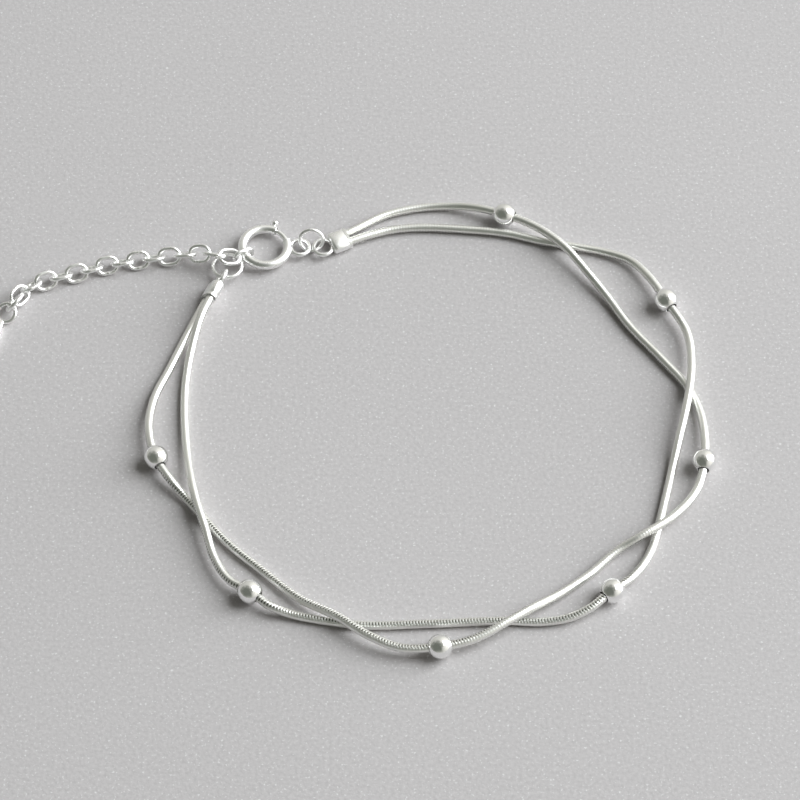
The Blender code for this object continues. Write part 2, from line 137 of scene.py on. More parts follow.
# Where each finding hangs: x, y, z in millimetres, then heading, slope and roll in degrees
places = {
    "clasp": (-7.780, 21.350, 0.930, 1.0, -2.5, -2.0),
    "jump_ring_left": (-11.610, 18.950, 0.940, -112.7, 3.7, 3.7),
    "jump_ring_right": (-3.020, 21.930, 1.280, -1.0, 0.0, 61.4),
    "drop_loop": (-34.080, 13.300, 0.756, -124.0, -25.0, 0.0),
    "drop_ring": (-33.230, 14.210, 1.340, -124.2, 0.4, 59.2),
    "end_drop": (-34.785, 12.255, 0.350, -124.0, 0.0, 0.0),
    "extender_link_01": (-10.020, 20.070, 1.120, -148.0, 4.7, 96.2),
    "extender_link_02": (-11.390, 19.620, 1.660, -170.7, 14.1, -3.7),
    "extender_link_03": (-12.920, 19.650, 1.970, 171.0, 0.5, 54.5),
    "extender_link_04": (-14.470, 19.970, 1.670, 171.3, -16.6, -38.2),
    "extender_link_05": (-16.020, 20.130, 1.210, 175.2, -14.9, 48.1),
    "extender_link_06": (-17.630, 20.120, 0.970, -176.6, -6.1, -45.0),
    "extender_link_07": (-19.239, 19.970, 0.860, -172.8, -1.8, 45.0),
    "extender_link_08": (-20.838, 19.710, 0.870, -170.0, 0.4, -45.0),
    "extender_link_09": (-22.431, 19.416, 0.872, -168.7, -0.1, 45.0),
    "extender_link_10": (-24.011, 19.060, 0.870, -165.5, 0.0, -45.0),
    "extender_link_11": (-25.563, 18.597, 0.870, -162.0, 0.0, 45.0),
    "extender_link_12": (-27.104, 18.099, 0.870, -163.1, 0.0, -45.0),
    "extender_link_13": (-28.666, 17.667, 0.870, -164.6, 0.0, 45.0),
    "extender_link_14": (-30.203, 17.159, 0.870, -157.9, 0.0, -45.0),
    "extender_link_15": (-31.660, 16.460, 0.870, -145.2, 0.6, 45.0),
    "extender_link_16": (-32.810, 15.327, 0.900, -127.6, 0.5, -45.0),
}


# Placing

def frameAt(centre, along, roll=0.0):
    # X runs along a direction, Y is level and then rolled about X
    x = along.normalized()
    y = up.cross(x).normalized()
    turned = Matrix((x, y, x.cross(y))).transposed() @ Matrix.Rotation(math.radians(roll), 3, "X")
    placed = turned.to_4x4()
    placed.translation = centre * mm
    return placed


def frameOf(name):
    x, y, z, heading, slope, roll = places[name]
    heading, slope = math.radians(heading), math.radians(slope)
    along = Vector((math.cos(heading) * math.cos(slope), math.sin(heading) * math.cos(slope), math.sin(slope)))
    return frameAt(Vector((x, y, z)), along, roll)


def smoothPoints(points, steps=24):
    # The same smooth curve through the points as the solids follow
    points = [Vector(p) for p in points]
    marks = [0.0]
    for a, b in zip(points, points[1:]):
        marks.append(marks[-1] + (b - a).length)
    slopes = [(b - a) / (v - u) for a, b, u, v in zip(points, points[1:], marks, marks[1:])]
    tangents = [slopes[0]]
    for i in range(1, len(slopes)):
        share = (marks[i] - marks[i - 1]) / (marks[i + 1] - marks[i - 1])
        tangents.append(slopes[i - 1].lerp(slopes[i], share))
    tangents.append(slopes[-1])
    fine = []
    for i, (a, b) in enumerate(zip(points, points[1:])):
        span = marks[i + 1] - marks[i]
        for k in range(steps):
            t = k / steps
            near = a * (2 * t**3 - 3 * t**2 + 1) + tangents[i] * span * (t**3 - 2 * t**2 + t)
            far = b * (3 * t**2 - 2 * t**3) + tangents[i + 1] * span * (t**3 - t**2)
            fine.append(near + far)
    fine.append(points[-1])
    return fine


def walk(points, way):
    # The point a way along a line of points, both in millimetres
    for a, b in zip(points, points[1:]):
        step = (b - a).length
        if way <= step:
            return a.lerp(b, way / step)
        way -= step
    return b


def wayNear(points, target):
    best, way, bestWay = 1e9, 0.0, 0.0
    for a, b in zip(points, points[1:]):
        if (a - target).length < best:
            best, bestWay = (a - target).length, way
        way += (b - a).length
    return bestWay


# Materials

polish = {
    "markScale": 2500.0,
    "markDetail": 6.0,
    "cloudScale": 300.0,
    "cloudDetail": 3.0,
    "usual": 0.25,        # the usual product of the two noises
    "swing": 4.0,         # makes that product's swing about one
    "bumpDistance": 0.00001,
}


def setInput(tree, socket, value):
    # Links another node's output, and writes anything else into the socket
    if isinstance(value, bpy.types.NodeSocket):
        tree.links.new(value, socket)
    else:
        socket.default_value = value


def noiseNode(tree, coordinate, scale, detail, x, y):
    noise = tree.nodes.new("ShaderNodeTexNoise")
    noise.location = (x, y)
    setInput(tree, noise.inputs["Vector"], coordinate)
    setInput(tree, noise.inputs["Scale"], scale)
    setInput(tree, noise.inputs["Detail"], detail)
    return noise.outputs["Fac"]


def mathNode(tree, operation, first, second, x, y):
    node = tree.nodes.new("ShaderNodeMath")
    node.operation = operation
    node.location = (x, y)
    for socket, value in zip(node.inputs, (first, second)):
        setInput(tree, socket, value)
    return node.outputs[0]


def mapped(tree, value, source, target, x, y):
    node = tree.nodes.new("ShaderNodeMapRange")
    node.interpolation_type = "SMOOTHSTEP"
    node.location = (x, y)
    for name, number in zip(("From Min", "From Max", "To Min", "To Max"), (*source, *target)):
        node.inputs[name].default_value = number
    tree.links.new(value, node.inputs["Value"])
    return node.outputs["Result"]


def mixNode(tree, factor, first, second, x, y):
    mix = tree.nodes.new("ShaderNodeMix")
    mix.data_type = "RGBA"
    mix.location = (x, y)
    for name, value in (("Factor", factor), ("A", first), ("B", second)):
        setInput(tree, mix.inputs[name], value)
    return mix.outputs["Result"]


def bumpNode(tree, height, strength, distance, x, y):
    bump = tree.nodes.new("ShaderNodeBump")
    bump.location = (x, y)
    for name, value in (("Strength", strength), ("Distance", distance), ("Height", height)):
        setInput(tree, bump.inputs[name], value)
    return bump.outputs["Normal"]


def makeWearGroup():
    # Fine polishing marks and a cloudy film: a changing roughness, a tint and a height
    group = bpy.data.node_groups.new("polishedWear", "ShaderNodeTree")
    sizes = (("Mark Scale", polish["markScale"]), ("Cloud Scale", polish["cloudScale"]))
    for name, value in (*sizes, ("Roughness", 0.12), ("Spread", 0.08)):
        socket = group.interface.new_socket(name=name, in_out="INPUT", socket_type="NodeSocketFloat")
        socket.default_value = value
    tints = (("Bright", (0.95, 0.945, 0.93, 1.0)), ("Dull", (0.80, 0.79, 0.76, 1.0)))
    for name, value in tints:
        socket = group.interface.new_socket(name=name, in_out="INPUT", socket_type="NodeSocketColor")
        socket.default_value = value
    group.interface.new_socket(name="Color", in_out="OUTPUT", socket_type="NodeSocketColor")
    group.interface.new_socket(name="Roughness", in_out="OUTPUT", socket_type="NodeSocketFloat")
    group.interface.new_socket(name="Height", in_out="OUTPUT", socket_type="NodeSocketFloat")
    entry = group.nodes.new("NodeGroupInput")
    entry.location = (-900, 0)
    place = group.nodes.new("ShaderNodeTexCoord")
    place.location = (-900, -300)
    where = place.outputs["Object"]
    marks = noiseNode(group, where, entry.outputs["Mark Scale"], polish["markDetail"], -650, 100)
    clouds = noiseNode(group, where, entry.outputs["Cloud Scale"], polish["cloudDetail"], -650, -200)
    both = mathNode(group, "MULTIPLY", marks, clouds, -420, 0)
    away = mathNode(group, "SUBTRACT", both, polish["usual"], -250, 0)
    swing = mathNode(group, "MULTIPLY", away, entry.outputs["Spread"], -90, 0)
    wide = mathNode(group, "MULTIPLY", swing, polish["swing"], 70, 0)
    rough = mathNode(group, "ADD", wide, entry.outputs["Roughness"], 230, 0)
    tint = mixNode(group, clouds, entry.outputs["Bright"], entry.outputs["Dull"], 230, -220)
    leave = group.nodes.new("NodeGroupOutput")
    leave.location = (450, 0)
    group.links.new(tint, leave.inputs["Color"])
    group.links.new(rough, leave.inputs["Roughness"])
    group.links.new(marks, leave.inputs["Height"])
    return group


wearGroup = makeWearGroup()


def makeSilver(name, bright, dull, roughness, spread, bump):
    material = bpy.data.materials.new(name)
    material.use_nodes = True
    tree = material.node_tree
    shader = tree.nodes["Principled BSDF"]
    shader.inputs["Metallic"].default_value = 1.0
    wear = tree.nodes.new("ShaderNodeGroup")
    wear.node_tree = wearGroup
    wear.location = (-500, 0)
    wear.inputs["Roughness"].default_value = roughness
    wear.inputs["Spread"].default_value = spread
    wear.inputs["Bright"].default_value = (*bright, 1.0)
    wear.inputs["Dull"].default_value = (*dull, 1.0)
    lumps = bumpNode(tree, wear.outputs["Height"], bump, polish["bumpDistance"], -250, -250)
    tree.links.new(wear.outputs["Color"], shader.inputs["Base Color"])
    tree.links.new(wear.outputs["Roughness"], shader.inputs["Roughness"])
    tree.links.new(lumps, shader.inputs["Normal"])
    return material


silver = {
    "chain": makeSilver("chainSilver", (0.89, 0.89, 0.865), (0.82, 0.82, 0.79), 0.34, 0.08, 0.2),
    # near-black silver for the floors of the chain's slits: painted shade in the slits
    "chainSlitShade": makeSilver("chainSlitShade", (0.13, 0.13, 0.115), (0.08, 0.08, 0.07), 0.45, 0.10, 0.4),
    "bead": makeSilver("beadSilver", (0.985, 0.985, 0.98), (0.94, 0.94, 0.93), 0.09, 0.05, 0.15),
    "finding": makeSilver("findingSilver", (0.99, 0.99, 0.985), (0.95, 0.95, 0.94), 0.29, 0.08, 0.25),
    # darker silver for the insides of holes and bores: painted shade
    "findingInsideShade": makeSilver("findingInsideShade", (0.50, 0.49, 0.47), (0.33, 0.32, 0.30), 0.4, 0.12, 0.4),
}
print("silver mixed:", ", ".join(silver))


# Making pieces

def moved(work, matrix):
    bmesh.ops.transform(work, matrix=matrix, verts=work.verts)
    return work


def merged(*parts):
    # One bmesh that holds the others
    whole = bmesh.new()
    for part in parts:
        mesh = bpy.data.meshes.new("part")
        part.to_mesh(mesh)
        part.free()
        whole.from_mesh(mesh)
        bpy.data.meshes.remove(mesh)
    return whole


def pegWork(diameter, length, sides):
    # A round peg along Z, its middle at the origin
    work = bmesh.new()
    radius = diameter / 2 * mm
    bmesh.ops.create_cone(work, cap_ends=True, segments=sides, radius1=radius, radius2=radius, depth=length * mm)
    return work


def meshObject(name, work, materials, sharpAngle=35.0):
    mesh = bpy.data.meshes.new(name)
    work.to_mesh(mesh)
    work.free()
    for material in materials:
        mesh.materials.append(silver[material])
    mesh.shade_smooth()
    mesh.set_sharp_from_angle(angle=math.radians(sharpAngle))
    piece = bpy.data.objects.new(name, mesh)
    scene.collection.objects.link(piece)
    return piece


def bake(piece):
    # Applies a piece's modifiers
    graph = bpy.context.evaluated_depsgraph_get()
    mesh = bpy.data.meshes.new_from_object(piece.evaluated_get(graph))
    piece.modifiers.clear()
    old = piece.data
    piece.data = mesh
    bpy.data.meshes.remove(old)


def fit(piece, slot, *nodes, body="bracelet"):
    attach(piece, body)
    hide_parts(*nodes)


def cutWith(piece, cutter, operation="DIFFERENCE"):
    # Cuts another object out of a piece, or joins it on, and uses it up
    step = piece.modifiers.new(operation.lower(), "BOOLEAN")
    step.operation = operation
    step.solver = "EXACT"
    step.object = cutter
    bake(piece)
    bpy.data.objects.remove(cutter)


def sweptWire(radius, wire, start=0.0, end=360.0, sides=14, steps=48):
    # A round wire bent round Z in the XY plane, its ends closed; angles in degrees
    work = bmesh.new()
    bmesh.ops.create_circle(work, cap_ends=False, segments=sides, radius=wire / 2 * mm)
    moved(work, Matrix.Rotation(math.pi / 2, 4, "X"))
    moved(work, Matrix.Translation((radius * mm, 0, 0)))
    moved(work, Matrix.Rotation(math.radians(start), 4, "Z"))
    full = end - start >= 360
    bmesh.ops.spin(
        work,
        geom=work.verts[:] + work.edges[:],
        cent=(0, 0, 0),
        axis=(0, 0, 1),
        angle=math.radians(end - start),
        steps=steps,
        use_merge=full,
    )
    bmesh.ops.remove_doubles(work, verts=work.verts, dist=1e-8)
    if not full:
        bmesh.ops.holes_fill(work, edges=[e for e in work.edges if e.is_boundary], sides=0)
    bmesh.ops.recalc_face_normals(work, faces=work.faces)
    return work


# Snake chains

chain = {
    "pitch": 0.30,       # length of one plate, mm
    "radius": 0.442,
    "sides": 16,
    "slit": 0.06,        # depth of the slits on the chain's two ribbed sides, their floors painted dark as shade
    "slitFrom": 0.83,    # where a slit begins round the chain, as a sine
    "slitFade": 0.15,
    "darkFrom": 0.6,     # share of the slit's depth below which a face gets the painted slit shade
    "line": 0.013,       # depth of the fine line between two plates elsewhere
    "wave": 0.03,        # how far a plate's edge swings along the chain
    # along one plate: share of its length, and the drop there or None for the slit or the line
    "rings": ((0.0, 0.012), (0.28, 0.0), (0.56, 0.012), (0.61, None), (0.95, None), (1.0, 0.012)),
    "sharp": 32.0,
    # how the chain is twisted: number of the route point, degrees
    "turns": {
        "strand_1": (
            (0, 85), (6, 85), (9, 10), (16, -8), (18, -60), (24, -70), (29, -90), (36, -120), (41, -120),
        ),
        "strand_2": (
            (0, 88), (8, 80), (11, 40), (13, 0), (20, 5), (23, -60), (28, -90), (37, -120), (41, -120),
        ),
    },
}


def plateWork(pitch):
    # One plate along X: a crowned band, then the slit before the next plate
    work = bmesh.new()
    bmesh.ops.create_circle(work, cap_ends=False, segments=chain["sides"], radius=mm)
    moved(work, Matrix.Rotation(math.pi / 2, 4, "Y"))
    rings = [(*chain["rings"][0], work.verts[:])]
    edges = work.edges[:]
    for share, drop in chain["rings"][1:]:
        made = bmesh.ops.extrude_edge_only(work, edges=edges)["geom"]
        edges = [e for e in made if isinstance(e, bmesh.types.BMEdge)]
        rings.append((share, drop, [v for v in made if isinstance(v, bmesh.types.BMVert)]))
    for share, drop, corners in rings:
        for corner in corners:
            around = math.atan2(corner.co.z, corner.co.y)
            opened = min(1.0, max(0.0, (abs(math.sin(around)) - chain["slitFrom"]) / chain["slitFade"]))
            depth = chain["line"] + (chain["slit"] - chain["line"]) * opened if drop is None else drop
            corner.co.y *= chain["radius"] - depth
            corner.co.z *= chain["radius"] - depth
            corner.co.x = (share * pitch + chain["wave"] * math.cos(2 * around)) * mm
    # Faces deep in a slit take the second material, painted shade
    deep = (chain["radius"] - chain["slit"] * chain["darkFrom"]) * mm
    for face in work.faces:
        if sum(math.hypot(v.co.y, v.co.z) for v in face.verts) / 4 < deep:
            face.material_index = 1
    bmesh.ops.recalc_face_normals(work, faces=work.faces)
    return work


def turnAt(turns, at):
    # The twist at a place along the route, eased from one given turn to the next
    for (a, first), (b, last) in zip(turns, turns[1:]):
        if at <= b:
            t = (at - a) / (b - a)
            return math.radians(first + (last - first) * t * t * (3 - 2 * t))
    return math.radians(turns[-1][1])


def makeChain(name):
    fine = smoothPoints(routes[name])
    length = sum((b - a).length for a, b in zip(fine, fine[1:]))
    line = bpy.data.curves.new(name + "Line", "CURVE")
    line.dimensions = "3D"
    line.twist_mode = "Z_UP"
    spline = line.splines.new("POLY")
    spline.points.add(len(fine) - 1)
    for k, (control, point) in enumerate(zip(spline.points, fine)):
        control.co = (*(point * mm), 1.0)
        control.tilt = turnAt(chain["turns"][name], k * (len(routes[name]) - 1) / (len(fine) - 1))
    guide = bpy.data.objects.new(name + "Line", line)
    scene.collection.objects.link(guide)

    count = int(length / chain["pitch"])
    piece = meshObject(name + "_chain", plateWork(length / count), ("chain", "chainSlitShade"), chain["sharp"])
    row = piece.modifiers.new("plates", "ARRAY")
    row.use_relative_offset = False
    row.use_constant_offset = True
    row.constant_offset_displace = (length / count * mm, 0, 0)
    row.count = count
    row.use_merge_vertices = True
    row.merge_threshold = 1e-6
    follow = piece.modifiers.new("follow", "CURVE")
    follow.object = guide
    follow.deform_axis = "POS_X"
    bake(piece)
    bpy.data.objects.remove(guide)
    bpy.data.curves.remove(line)
    closeEnds(piece)
    fit(piece, "chain_silver", name)
    print(name, "has", count, "plates over", round(length, 1), "mm")


def closeEnds(piece):
    work = bmesh.new()
    work.from_mesh(piece.data)
    bmesh.ops.holes_fill(work, edges=[e for e in work.edges if e.is_boundary], sides=0)
    bmesh.ops.recalc_face_normals(work, faces=work.faces)
    work.to_mesh(piece.data)
    work.free()


for name in routes:
    makeChain(name)


# Beads

bead = {
    "diameter": 2.42,
    "length": 2.26,
    "hole": 1.15,
    "rimWidth": 0.05,
    "rim": ((0.012, 0.0275), (-0.005, 0.008), (-0.05, 0.0)),   # out along the hole, and out from its wall
    "rows": 20,
    "steps": 40,
    # bead number: its strand and the route point that it sits on
    "on": {
        1: ("strand_1", 6), 2: ("strand_2", 11), 3: ("strand_1", 16), 4: ("strand_2", 21),
        5: ("strand_1", 26), 6: ("strand_2", 31), 7: ("strand_1", 36),
    },
}


def beadWork():
    # A drilled ball, a little shorter along its hole, with a softened rim
    work = bmesh.new()
    radius, hole = bead["diameter"] / 2, bead["hole"] / 2
    rimAngle = math.asin((hole + bead["rimWidth"]) / radius)
    stretch = bead["length"] / 2 / math.cos(math.asin(hole / radius))
    profile = []
    for k in range(bead["rows"] + 1):
        angle = rimAngle + (math.pi - 2 * rimAngle) * k / bead["rows"]
        profile.append((stretch * math.cos(angle), radius * math.sin(angle)))
    rim = [(profile[0][0] + along, hole + out) for along, out in bead["rim"]]
    whole = [(x, r) for x, r in reversed(rim)] + profile + [(-x, r) for x, r in rim]
    corners = [work.verts.new((x * mm, 0, r * mm)) for x, r in whole]
    edges = [work.edges.new(pair) for pair in zip(corners, corners[1:] + corners[:1])]
    bmesh.ops.spin(
        work,
        geom=corners + edges,
        cent=(0, 0, 0),
        axis=(1, 0, 0),
        angle=math.tau,
        steps=bead["steps"],
        use_merge=True,
    )
    bmesh.ops.remove_doubles(work, verts=work.verts, dist=1e-8)
    bmesh.ops.recalc_face_normals(work, faces=work.faces)
    # Faces inside the hole take the darker inside material, painted shade
    inHole = (hole + 0.002) * mm
    for face in work.faces:
        middle = face.calc_center_median()
        if math.hypot(middle.y, middle.z) < inHole:
            face.material_index = 1
    return work


def makeBeads():
    for number, (strand, index) in bead["on"].items():
        fine = smoothPoints(routes[strand])
        way = wayNear(fine, Vector(routes[strand][index]))
        half = bead["length"] / 2
        before, at, after = (walk(fine, way + step) for step in (-half, 0.0, half))
        place = frameAt((at * 2 + before + after) / 4, after - before)
        piece = meshObject(f"bead_{number}_ball", moved(beadWork(), place), ("bead", "findingInsideShade"))
        fit(piece, "bead_silver", f"bead_{number}")
    print("beads threaded:", len(bead["on"]))


makeBeads()


# End caps

cap = {
    "length": 2.0,
    "wall": 0.2,
    "floor": 0.4,
    "strand": 0.9,
    "fit": 0.06,
    "loopInner": 1.5,
    "wire": 0.42,
    "lip": 0.26,
    "square": 0.80,      # 1 gives an oval section, less a squarer one
    "sides": 44,
    "holeSides": 28,
    "sharp": 40.0,
    # each cap's route points: the chains' tips, and the points that they come from
    "ends": {"end_cap_left": (0, 1), "end_cap_right": (-1, -2)},
}


def capPlace(name):
    # The cap's frame between the two tips, X towards its loop and Y across, and how far the tips are apart
    outer, inner = cap["ends"][name]
    tips = [Vector(routes[s][outer]) for s in ("strand_1", "strand_2")]
    backs = [Vector(routes[s][inner]) for s in ("strand_1", "strand_2")]
    middle = (tips[0] + tips[1]) / 2
    x = (middle - (backs[0] + backs[1]) / 2).normalized()
    across = tips[1] - tips[0]
    y = (across - x * across.dot(x)).normalized()
    placed = Matrix((x, y, x.cross(y))).transposed().to_4x4()
    placed.translation = middle * mm
    return placed, across.length


def capBody(spread):
    # A flattened, slightly crowned tube along X that rounds in towards the loop, with a lip at its mouth
    height = cap["strand"] + 2 * cap["fit"] + 2 * cap["wall"]
    mouth = cap["floor"] - cap["length"]
    work = bmesh.new()
    bmesh.ops.create_circle(work, cap_ends=True, segments=cap["sides"], radius=1.0)
    moved(work, Matrix.Rotation(math.pi / 2, 4, "Y"))
    for corner in work.verts:
        corner.co.y = math.copysign(abs(corner.co.y) ** cap["square"], corner.co.y) * (spread + height) / 2 * mm
        corner.co.z = math.copysign(abs(corner.co.z) ** cap["square"], corner.co.z) * height / 2 * mm
    moved(work, Matrix.Translation((mouth * mm, 0, 0)))
    edge = mouth + cap["lip"]
    # Places along X and the section's share there: the lip, the groove behind it, the body, the shoulder
    stations = (
        (mouth + 0.02, 1.0), (edge, 1.0),
        (edge + 0.03, 0.955), (edge + 0.10, 0.955),
        (edge + 0.13, 0.985), (0.12, 0.985),
        (0.26, 0.93), (0.36, 0.78), (0.40, 0.60),
    )
    face = work.faces[:][0]
    at, size = mouth, 1.0
    for x, share in stations:
        made = bmesh.ops.extrude_face_region(work, geom=[face])
        if at > mouth:
            bmesh.ops.delete(work, geom=[face], context="FACES_ONLY")
        corners = [v for v in made["geom"] if isinstance(v, bmesh.types.BMVert)]
        newFace = next(f for f in made["geom"] if isinstance(f, bmesh.types.BMFace))
        bmesh.ops.translate(work, verts=corners, vec=((x - at) * mm, 0, 0))
        for corner in corners:
            side = math.copysign(min(abs(corner.co.y), spread / 2 * mm), corner.co.y)
            corner.co.y = side + (corner.co.y - side) * share / size
            corner.co.z *= share / size
        face, at, size = newFace, x, share
    bmesh.ops.recalc_face_normals(work, faces=work.faces)
    return work


def makeCap(name):
    place, spread = capPlace(name)
    body = meshObject(name + "_body", moved(capBody(spread), place), ("finding", "findingInsideShade"), cap["sharp"])
    loopRadius = (cap["loopInner"] + cap["wire"]) / 2
    reach = cap["floor"] + cap["loopInner"] / 2 + cap["fit"]
    loop = moved(sweptWire(loopRadius, cap["wire"]), place @ Matrix.Translation((reach * mm, 0, 0)))
    cutWith(body, meshObject("loop", loop, ("finding", "findingInsideShade")), "UNION")
    for side in (-1, 1):
        hole = pegWork(cap["strand"] + 2 * cap["fit"], cap["length"], cap["holeSides"])
        moved(hole, Matrix.Rotation(math.pi / 2, 4, "Y"))
        moved(hole, Matrix.Translation(((cap["fit"] - cap["length"] / 2) * mm, side * spread / 2 * mm, 0)))
        cutWith(body, meshObject("hole", moved(hole, place), ("finding", "findingInsideShade")))
    body.data.set_sharp_from_angle(angle=math.radians(cap["sharp"]))
    fit(body, "finding_silver", name)


for name in cap["ends"]:
    makeCap(name)
print("end caps fitted")


# Rings and links

ring = {
    "jump_ring_left": {"diameter": 3.4, "wire": 0.40, "seam": 200.0},
    "jump_ring_right": {"diameter": 2.8, "wire": 0.40, "seam": 95.0},
    "drop_ring": {"diameter": 2.6, "wire": 0.42, "seam": 250.0},
}
link = {
    "length": 2.58,
    "width": 2.06,
    "wire": 0.40,
    "sides": 16,
    "turnSteps": 16,
    "solder": 0.02,      # how far the soldered joint stands out, mm
    "soldered": (0.46, 0.54),
    "along": (0.18, 0.46, 0.54, 0.82, 1.0),
    "count": 16,
}


def makeRing(name):
    # A round ring with an open seam
    size = ring[name]
    radius = (size["diameter"] - size["wire"]) / 2
    halfSeam = 1.2
    work = sweptWire(radius, size["wire"], size["seam"] + halfSeam, size["seam"] + 360 - halfSeam)
    piece = meshObject(name + "_wire", moved(work, frameOf(name)), ("finding",))
    fit(piece, "finding_silver", name)


def linkWork():
    # An oval link: two half turns and two straight sides, soldered in the middle of one side
    turn = (link["width"] - link["wire"]) / 2
    straight = (link["length"] - link["width"]) / 2
    halves = []
    for side in (0, 1):
        work = bmesh.new()
        bmesh.ops.create_circle(work, cap_ends=False, segments=link["sides"], radius=link["wire"] / 2 * mm)
        moved(work, Matrix.Rotation(math.pi / 2, 4, "Y"))
        moved(work, Matrix.Translation((-straight * mm, -turn * mm, 0)))
        edges = work.edges[:]
        for share in link["along"]:
            made = bmesh.ops.extrude_edge_only(work, edges=edges)["geom"]
            edges = [e for e in made if isinstance(e, bmesh.types.BMEdge)]
            corners = [v for v in made if isinstance(v, bmesh.types.BMVert)]
            middle = Vector(((share * 2 - 1) * straight, -turn, 0)) * mm
            swell = link["solder"] if side == 0 and share in link["soldered"] else 0.0
            for corner in corners:
                out = Vector((0, corner.co.y - middle.y, corner.co.z)).normalized()
                corner.co = middle + out * (link["wire"] / 2 + swell) * mm
        bmesh.ops.spin(
            work,
            geom=corners + edges,
            cent=(straight * mm, 0, 0),
            axis=(0, 0, 1),
            angle=math.pi,
            steps=link["turnSteps"],
        )
        moved(work, Matrix.Rotation(math.pi * side, 4, "Z"))
        halves.append(work)
    whole = merged(*halves)
    bmesh.ops.remove_doubles(whole, verts=whole.verts, dist=1e-7)
    bmesh.ops.recalc_face_normals(whole, faces=whole.faces)
    return whole


for name in ring:
    makeRing(name)
for number in range(1, link["count"] + 1):
    name = f"extender_link_{number:02d}"
    # Every second link is turned over, so that the soldered sides change about
    flip = Matrix.Rotation(math.pi * ((number + 1) % 2), 4, "X")
    piece = meshObject(name + "_wire", moved(linkWork(), frameOf(name) @ flip), ("finding",))
    fit(piece, "finding_silver", name)
print("rings and links hung")


# Spring ring clasp

clasp = {
    "diameter": 5.6,
    "tube": 0.96,
    "wall": 0.14,
    "opening": (18.0, 60.0),   # where the ring is open, degrees
    "eyeletInner": 1.5,
    "wire": 0.42,
    "fit": 0.06,
    "gateWire": 0.52,
    "gate": (11.0, 100.0),
    "travel": 48.0,
    "knobAngle": 71.0,
    "knob": 0.7,
    "post": 0.3,
    "slotMargin": 5.5,
    "pastEnd": 4.0,            # how far the bore's cutter reaches past the tube's ends, degrees
    "lipBack": 1.2,            # how far the rolled lips sit from the ends, degrees
    "lipWire": 0.06,
    "lipInset": 0.005,
    "knobFaces": (24, 14),
    "sharp": 38.0,
}


def makeClaspRing():
    # A hollow C with a thumb slot, rolled lips at its mouth and a soldered eyelet
    place = frameOf("clasp")
    radius = (clasp["diameter"] - clasp["tube"]) / 2
    start, end = clasp["opening"]
    shell = sweptWire(radius, clasp["tube"], end, 360 + start, 24, 84)
    piece = meshObject("clasp_ring_tube", moved(shell, place), ("finding", "findingInsideShade"))
    bore = clasp["tube"] - 2 * clasp["wall"]
    # The bore's cutter carries only the darker inside material, painted shade inside the tube
    inside = sweptWire(radius, bore, end - clasp["pastEnd"], 360 + start + clasp["pastEnd"], 20, 84)
    cutWith(piece, meshObject("bore", moved(inside, place), ("findingInsideShade", "findingInsideShade")))
    slotStart = clasp["knobAngle"] - clasp["slotMargin"]
    slotEnd = clasp["knobAngle"] + clasp["travel"] + clasp["slotMargin"]
    slot = sweptWire(clasp["diameter"] / 2, clasp["post"] + 6 * clasp["fit"], slotStart, slotEnd, 14, 24)
    cutWith(piece, meshObject("slot", moved(slot, place), ("finding", "findingInsideShade")))
    extras = []
    for angle in (end + clasp["lipBack"], 360 + start - clasp["lipBack"]):
        lip = sweptWire(clasp["tube"] / 2 - clasp["lipInset"], clasp["lipWire"], 0, 360, 8, 28)
        moved(lip, Matrix.Rotation(math.pi / 2, 4, "X"))
        moved(lip, Matrix.Translation((radius * mm, 0, 0)))
        extras.append(moved(lip, place @ Matrix.Rotation(math.radians(angle), 4, "Z")))
    reach = clasp["diameter"] / 2 + clasp["eyeletInner"] / 2 + clasp["fit"]
    eyelet = sweptWire((clasp["eyeletInner"] + clasp["wire"]) / 2, clasp["wire"])
    extras.append(moved(eyelet, place @ Matrix.Translation((reach * mm, 0, 0))))
    for extra in extras:
        cutWith(piece, meshObject("extra", extra, ("finding", "findingInsideShade")), "UNION")
    piece.data.set_sharp_from_angle(angle=math.radians(clasp["sharp"]))
    fit(piece, "finding_silver", "clasp_ring")


def makeClaspGate():
    # The sprung wire inside the ring, with a post and a thumb knob
    place = frameOf("clasp")
    radius = (clasp["diameter"] - clasp["tube"]) / 2
    bar = sweptWire(radius, clasp["gateWire"], *clasp["gate"], 16, 26)
    reach = clasp["diameter"] / 2 + clasp["fit"] + clasp["knob"] / 2
    turned = Matrix.Rotation(math.radians(clasp["knobAngle"]), 4, "Z") @ Matrix.Rotation(math.pi / 2, 4, "Y")
    post = pegWork(clasp["post"], reach - radius, 16)
    moved(post, turned @ Matrix.Translation((0, 0, (radius + reach) / 2 * mm)))
    knob = bmesh.new()
    around, down = clasp["knobFaces"]
    bmesh.ops.create_uvsphere(knob, u_segments=around, v_segments=down, radius=clasp["knob"] / 2 * mm)
    moved(knob, turned @ Matrix.Translation((0, 0, reach * mm)))
    piece = meshObject("clasp_gate_bar", moved(bar, place), ("finding",))
    for part in (post, knob):
        cutWith(piece, meshObject("gatePart", moved(part, place), ("finding",)), "UNION")
    piece.data.set_sharp_from_angle(angle=math.radians(clasp["sharp"]))
    fit(piece, "finding_silver", "clasp_gate", body="gate")


makeClaspRing()
makeClaspGate()
print("clasp closed")


# End drop

drop = {
    "length": 4.59,
    "width": 2.79,
    "tip": 0.9,
    "thickness": 0.7,
    "loopInner": 1.5,
    "wire": 0.42,
    "edge": 0.16,
    "endPoints": (29, 11),   # on the round end and on the tip
    "sharp": 34.0,
}


